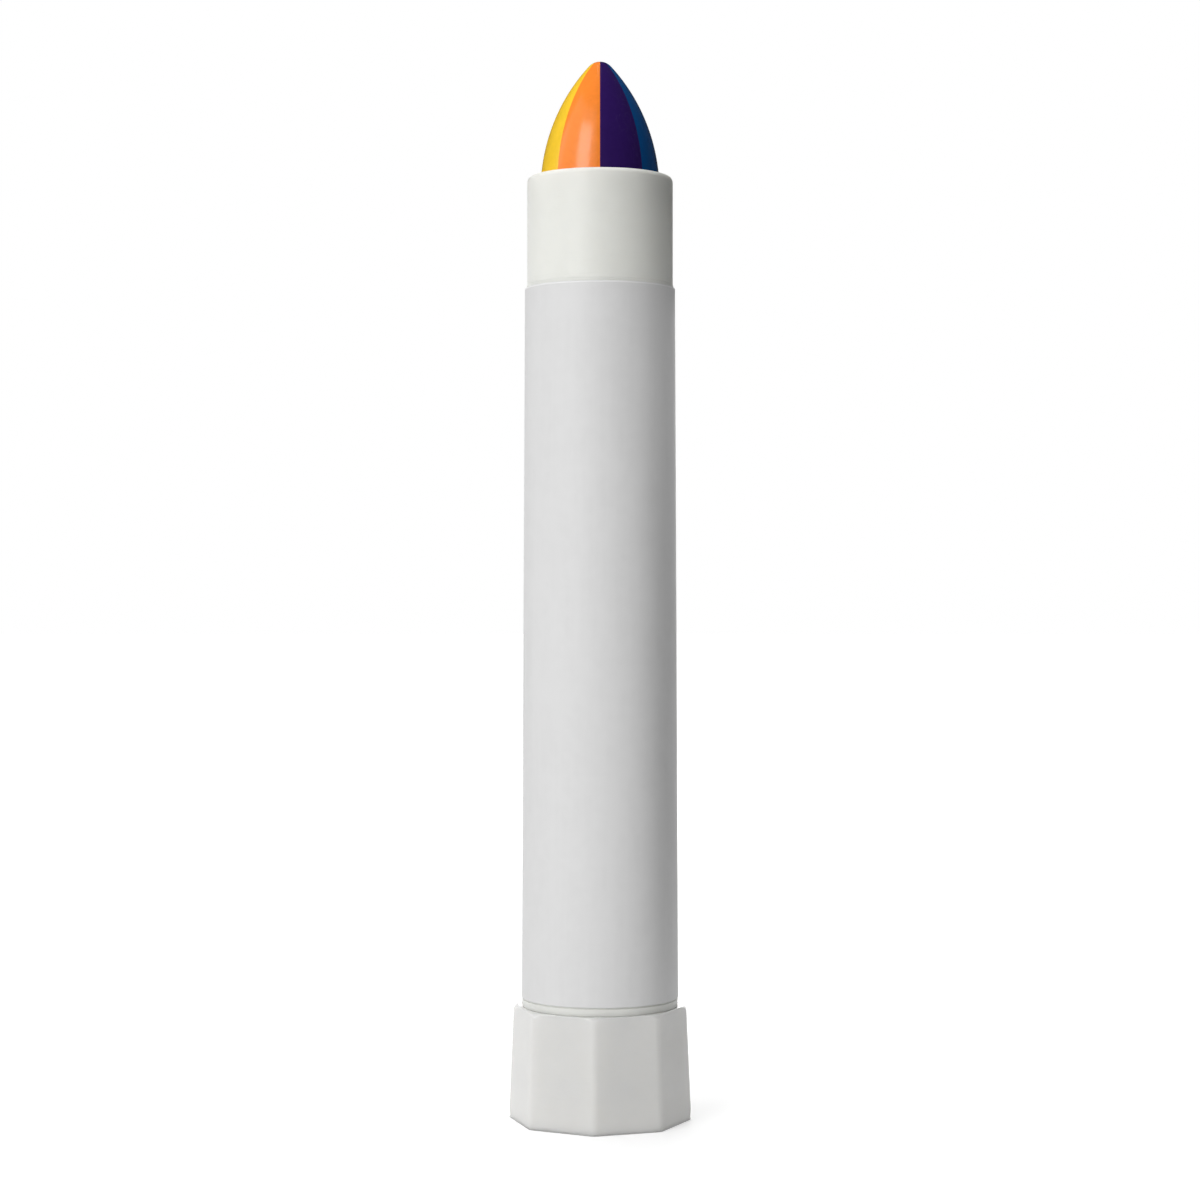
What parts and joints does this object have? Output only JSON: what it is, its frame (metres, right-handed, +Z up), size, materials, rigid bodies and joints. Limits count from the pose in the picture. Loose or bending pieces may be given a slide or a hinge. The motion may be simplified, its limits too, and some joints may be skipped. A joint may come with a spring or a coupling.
{
  "type": "solid paint marker",
  "caption": "Twist-up solid paint marker: octagonal knob and threaded spindle drive a bullet-shaped stick of wedge-cast colours out of a labelled barrel.",
  "frame": {"origin": "centre of the knob's flat underside, on the surface that the marker stands on", "axes": "+Z up along the marker from the knob to the paint tip, -Y to the front of the marker, which is the side opposite the label's seam"},
  "size_m": [0.02, 0.02, 0.1162],
  "materials": {
    "white_plastic": "satin moulded polypropylene",
    "label_film": "matte pale grey film",
    "knob_plastic": "satin moulded polypropylene",
    "inner_plastic": "moulded acetal, natural",
    "yellow_paint": "waxy solid paint",
    "orange_paint": "waxy solid paint",
    "violet_paint": "waxy solid paint",
    "blue_paint": "waxy solid paint"
  },
  "bodies": {
    "barrel": {"barrel": "white_plastic", "label_sleeve": "label_film"},
    "knob": {"twist_knob": "knob_plastic", "lead_screw": "inner_plastic"},
    "stick": {"paint_carrier": "inner_plastic", "yellow_wedge_right": "yellow_paint", "orange_wedge_rear": "orange_paint", "violet_wedge_rear": "violet_paint", "blue_wedge_left": "blue_paint", "yellow_wedge_left": "yellow_paint", "orange_wedge_front": "orange_paint", "violet_wedge_front": "violet_paint", "blue_wedge_right": "blue_paint"}
  },
  "joints": [
    {"name": "knob_spin", "type": "hinge", "parent": "barrel", "child": "knob", "pos_m": [0, 0, 0.005], "axis": [0, 0, 1], "range_deg": [-1260, 5400]},
    {"name": "stick_feed", "type": "slide", "parent": "barrel", "child": "stick", "axis": [0, 0, 1], "range_m": [-0.0142, 0.0602]}
  ],
  "couplings": [
    {"joint": "stick_feed", "follows": "knob_spin", "m_per_rad": 0.00063662}
  ]
}
